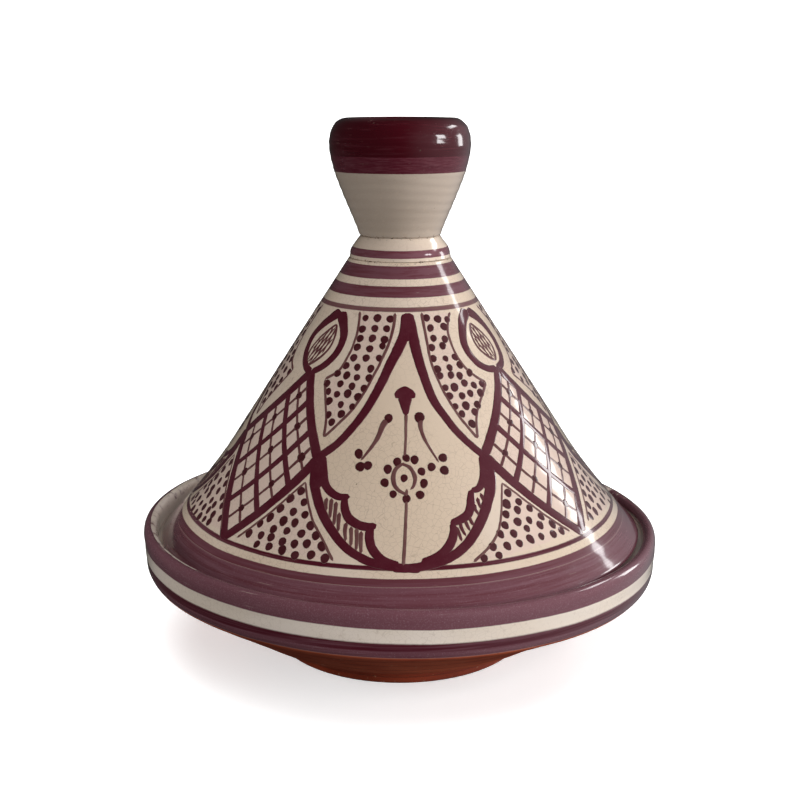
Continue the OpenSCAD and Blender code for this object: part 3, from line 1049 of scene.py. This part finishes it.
def drawMedallion(there, stray):
    def broadLine(points, widths, ink=0.92):
        broad.stroke(points, widths, ink, there, stray)

    for part in ("archLeft", "archRight", "apex", "corners", "lowerLeft", "lowerRight"):
        lines = medallion[part] if part in ("apex", "corners") else [medallion[part]]
        for line in lines:
            broadLine(line, brushWidths[part])
    for side in ("scallopLeft", "scallopRight"):
        broadLine(medallion[side][0], brushWidths[side])
        for line in medallion[side][1:]:
            broadLine(line, brushWidths["scallop"])
    for side, ink in (("hatchLeft", 0.4), ("hatchRight", 0.85)):
        for turn, high, low in medallion[side]:
            lean = hand.uniform(-0.3, 0.3)
            fine.stroke([(turn - 0.3, high), (turn + lean, (high + low) / 2), (turn + 0.5, low)],
                        brushWidths[side], ink, there, stray * 0.5)
    for line, part in zip(motif["head"], ("petal", "petal", "bud")):
        broadLine(line, brushWidths[part], 0.9)
    for points, widths, ink in motif["stems"]:
        fine.stroke(points, widths, ink, there, stray * 0.5)
    for part, size in dabSizes.items():
        for turn, up in motif[part]:
            dots.dab(there(turn) + hand.uniform(-stray, stray), up + hand.uniform(-stray, stray),
                     size * hand.uniform(0.94, 1.06), 0.95)


def panelLoop(panel):
    # a panel's outline all the way round; only an upper one has a line on top
    if "top" in panel:
        return panel["inner"] + panel["outer"][1:] + panel["top"][1:]
    return panel["inner"][::-1] + panel["outer"][1:]


def drawPanels(there, stray):
    for panel in panels.values():
        kind = "upper" if "top" in panel else "lower"
        widths, ink = panelLines[kind]
        for part in ("inner", "outer", "top"):
            if part in panel:
                fine.stroke(panel[part], widths, ink, there, stray * 0.6)
        fillDots(carried(panelLoop(panel), there), **panelDots[kind])


def drawLeafColumn(column, there, stray):
    for side in ("ringIn", "ringOut"):
        broad.stroke(column[side], brushWidths["leafRing"], 0.9, there, stray)
    (topTurn, topUp), (lowTurn, lowUp), wide = column["leaf"]
    hatchGap = 0.42                              # as a share of the leaf's half width
    axis = np.array([topTurn - lowTurn, topUp - lowUp])
    stem = np.array([lowTurn, lowUp])

    def leafPlace(across, along):
        return stem + axis * (along + 1) / 2 + [across * wide, 0]
    for way in (-1, 1):
        rim = [leafPlace(way * (1 - v * v) * (1.05 - 0.15 * v), v) for v in np.linspace(-1, 1, 9)]
        fine.stroke(rim, brushWidths["leafRim"], 0.6, there, stray * 0.4)
        for start in np.arange(-1.1, 1.15, hatchGap):
            ends = [v for v in np.linspace(-0.85, 0.85, 35)
                    if abs(start + way * hatchGap * v) < 0.86 * (1 - v * v)]
            if len(ends) > 5:
                line = [leafPlace(start + way * hatchGap * v, v)
                        for v in (ends[0], sum(ends) / len(ends), ends[-1])]
                fine.stroke(line, brushWidths["leafVein"], 0.55, there, stray * 0.4)
    top, right, low, left = (np.array(p, float) for p in column["diamond"])
    cellMiddles = (1 / 6, 3 / 6, 5 / 6)          # of the three cells along a side

    def cell(u, v):
        return top * (1 - u) * (1 - v) + right * u * (1 - v) + left * (1 - u) * v + low * u * v

    def netLine(share, crossing, brush, widths, ink, reach=1.0):
        ends = [(share, s) if crossing else (s, share) for s in (1 - reach, 0.5, reach)]
        wobble = hand.uniform(-0.008, 0.008)
        brush.stroke([cell(u + wobble, v + wobble) for u, v in ends], widths, ink, there, stray * 0.5)
    for crossing in (False, True):
        for share in (0.0, 1.0):
            netLine(share, crossing, broad, brushWidths["netEdge"], 0.85)
        for share in (1 / 3, 2 / 3):
            netLine(share, crossing, broad, brushWidths["netBroad"], 0.7, 0.99)
        for share in cellMiddles:
            netLine(share, crossing, fine, brushWidths["netFine"], 0.6, 0.97)
    for u in cellMiddles:
        for v in cellMiddles:
            turn, up = cell(u, v)
            dots.dab(there(turn) + hand.uniform(-0.3, 0.3), up + hand.uniform(-0.5, 0.5),
                     hand.uniform(4.2, 5.2), 0.95)


def leafStations(index):
    # the stations round one leaf column; the first one wraps past the last
    if index == 0:
        return np.array([stations[-2] - 360, stations[0], stations[1]])
    return stations[3 * index - 1:3 * index + 2]


medallionLoop = (medallion["archLeft"][::-1] + medallion["archRight"] + medallion["lowerRight"][1:]
                 + medallion["lowerLeft"][::-1])
tints = []                                       # outlines of the warmer and the pinker grounds
for index in range(4):
    here = stations[3 * index:3 * index + 4]
    turned = index % 2 == 1
    stray = 0.0 if index == 0 else design["unsteady"]
    there = between(here[::-1] if turned else here, design["turns"])
    drawMedallion(there, stray)
    drawPanels(there, stray)
    side = "right" if turned else "left"
    column = leafColumns[side]
    thereLeaf = between(leafStations(index), design[side + "Leaf"])
    drawLeafColumn(column, thereLeaf, stray if index > 1 else 0.0)
    grounds = [("warm", medallionLoop, there), ("pink", column["diamond"], thereLeaf)]
    grounds += [("pink", panelLoop(panel), there) for panel in panels.values()]
    tints.extend((tint, carried(loop, carry)) for tint, loop, carry in grounds)


def tintLid():
    # marks where the lid's ground is warmer or pinker
    mesh = lidCone.data
    spots = np.zeros(len(mesh.vertices) * 3)
    mesh.vertices.foreach_get("co", spots)
    spots = spots.reshape(-1, 3) / mm
    turns = np.degrees(np.arctan2(spots[:, 0], -spots[:, 1]))
    inner = np.zeros(len(spots))
    mesh.attributes["inside"].data.foreach_get("value", inner)
    ups = np.interp(spots[:, 2], lidOutside[:, 1], slopeRun)
    values = {"warm": np.zeros(len(spots)), "pink": np.zeros(len(spots))}
    for tint, loop in tints:
        for lap in (-360, 0, 360):
            values[tint][inside(turns + lap, ups, loop)] = 1.0
    for tint, value in values.items():
        mesh.attributes.new(tint, "FLOAT", "POINT").data.foreach_set("value", value * (inner < 0.5))


tintLid()
lidStrokes = build("lidStrokes", broad.mesh("broadLines"), brushTree,
                   {"Pot": lidCone, "Paint": broadPaint, "Thickness": 0.09 * mm, "Tremble": 0.35 * mm,
                    "Raggedness": 0.16, "Seed": 4})
lidLines = build("lidLines", fine.mesh("fineLines"), brushTree,
                 {"Pot": lidCone, "Paint": finePaint, "Thickness": 0.07 * mm, "Tremble": 0.30 * mm,
                  "Raggedness": 0.5, "Sides": 8, "Seed": 6})
lidDots = build("lidDots", dots.mesh("dotPlaces"), dabTree,
                {"Pot": lidCone, "Paint": dotPaint, "Thickness": 0.09 * mm, "Tail": 0.18,
                 "Size Spread": 0.09, "Seed": 8})
print("painted design ready")


for piece, body, part, coat in (
        (dishBowl, "dish", "dish", "dish_glaze"), (footRing, "dish", "foot_ring", "foot_clay"),
        (lidCone, "lid", "lid_cone", "lid_glaze"), (neckCollar, "lid", "neck_collar", "collar_glaze"),
        (knobCup, "lid", "lid_knob", "knob_glaze")):
    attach(piece, body)
    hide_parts(part)
for piece in (lidStrokes, lidLines, lidDots):
    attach(piece, "lid")


studio = {
    "cameraPlace": (0.0, -0.718, 0.317),
    "cameraPitch": 76.45,
    "lens": 56.9,
    "floorWidth": 3.6,
    "floorFront": 2.4,
    "paperGlow": 0.5,          # keeps the paper pale away from its lamp
    "wallDistance": 1.5,
    "bendRadius": 0.7,
    "wallHeight": 2.6,
    "aimHeight": 0.15,
}


def sweepFloor():
    # a paper sweep: flat in front, curving up behind
    far, bendBy = studio["wallDistance"], studio["bendRadius"]
    line = [(-studio["floorFront"], 0.0), (-0.5, 0.0), (far - bendBy, 0.0)]
    line += [(far - bendBy + bendBy * math.sin(a), bendBy - bendBy * math.cos(a))
             for a in np.linspace(0, math.pi / 2, 25)[1:]]
    line.append((far, studio["wallHeight"]))
    half = studio["floorWidth"] / 2
    places = [(x, y, z) for y, z in line for x in (-half, half)]
    mesh = bpy.data.meshes.new("paperSweep")
    mesh.from_pydata(places, [], [(2 * i, 2 * i + 1, 2 * i + 3, 2 * i + 2) for i in range(len(line) - 1)])
    mesh.shade_smooth()
    paper = bpy.data.objects.new("paperSweep", mesh)
    bpy.context.scene.collection.objects.link(paper)
    material, tree, shader = newMaterial("palePaper")
    shade = noise(objectSpot(tree), 60.0, 4.0)
    fill(shader.inputs, {"Base Color": blend(shade, "paperGrey", "paperWhite"), "Roughness": 0.9,
                         "Specular IOR Level": 0.2, "Emission Color": palette["white"],
                         "Emission Strength": studio["paperGlow"]})
    mesh.materials.append(material)
    paper.visible_diffuse = False                # the paper neither tints the pot nor shines in its glaze
    paper.visible_glossy = False
    return paper


def softLight(name, turn, rise, away, width, height, power, shine=True, only=()):
    # a soft panel aimed at the pot: degrees round from the front, degrees up, distance
    data = bpy.data.lights.new(name, "AREA")
    data.shape, data.size, data.size_y = "RECTANGLE", width, height
    data.energy = power
    light = bpy.data.objects.new(name, data)
    turn, rise = math.radians(turn), math.radians(rise)
    towards = Vector((math.cos(rise) * math.sin(turn), -math.cos(rise) * math.cos(turn), math.sin(rise)))
    light.location = Vector((0, 0, studio["aimHeight"])) + towards * away
    light.rotation_euler = towards.to_track_quat("Z", "Y").to_euler()
    light.visible_glossy = shine
    if only:
        lit = bpy.data.collections.new(name + "Reach")
        for thing in only:
            lit.objects.link(thing)
        light.light_linking.receiver_collection = lit
    bpy.context.scene.collection.objects.link(light)


paper = sweepFloor()
softLight("windowLight", 113, 11, 2.0, 0.42, 0.68, 6.6)
softLight("highWindow", 115, 37, 2.0, 0.80, 0.28, 5.4)
softLight("upperWindow", 70, 20, 2.0, 0.55, 0.5, 12.0, only=(knobCup, neckCollar))
softLight("frontFill", 29, 22, 2.2, 1.2, 1.2, 35.0, shine=False)
softLight("topFill", 0, 80, 2.2, 1.2, 1.2, 4.5, shine=False)
softLight("backFill", 185, 30, 2.4, 1.4, 1.4, 16.0, shine=False)
softLight("sideFill", 78, 15, 2.2, 0.9, 0.9, 8.0, shine=False)
softLight("leftFill", -98, -4, 0.65, 0.4, 0.25, 2.4, shine=False)
softLight("paperLight", 0, 80, 4.0, 4.0, 4.0, 170.0, shine=False, only=(paper,))

world = bpy.data.worlds.new("studioAir")
world.use_nodes = True
bpy.context.scene.world = world
air = world.node_tree
side = apart(node(air, "ShaderNodeTexCoord", take="Generated"))[0]
airColour = blend(fade(side, 0.0, 1.0), "airDim", "airBright")
seen = node(air, "ShaderNodeLightPath", take="Is Camera Ray")          # pale behind the paper's edges
feed(air.nodes["Background"].inputs["Color"], blend(seen, airColour, "white"))

cameraData = bpy.data.cameras.new("camera")
cameraData.lens = studio["lens"]
cameraData.sensor_width = 36.0
cameraData.clip_start = 0.01
camera = bpy.data.objects.new("camera", cameraData)
camera.location = studio["cameraPlace"]
camera.rotation_euler = Euler((math.radians(studio["cameraPitch"]), 0, 0))
bpy.context.scene.collection.objects.link(camera)
bpy.context.scene.camera = camera
bpy.context.scene.view_settings.view_transform = "Standard"
print("studio ready")
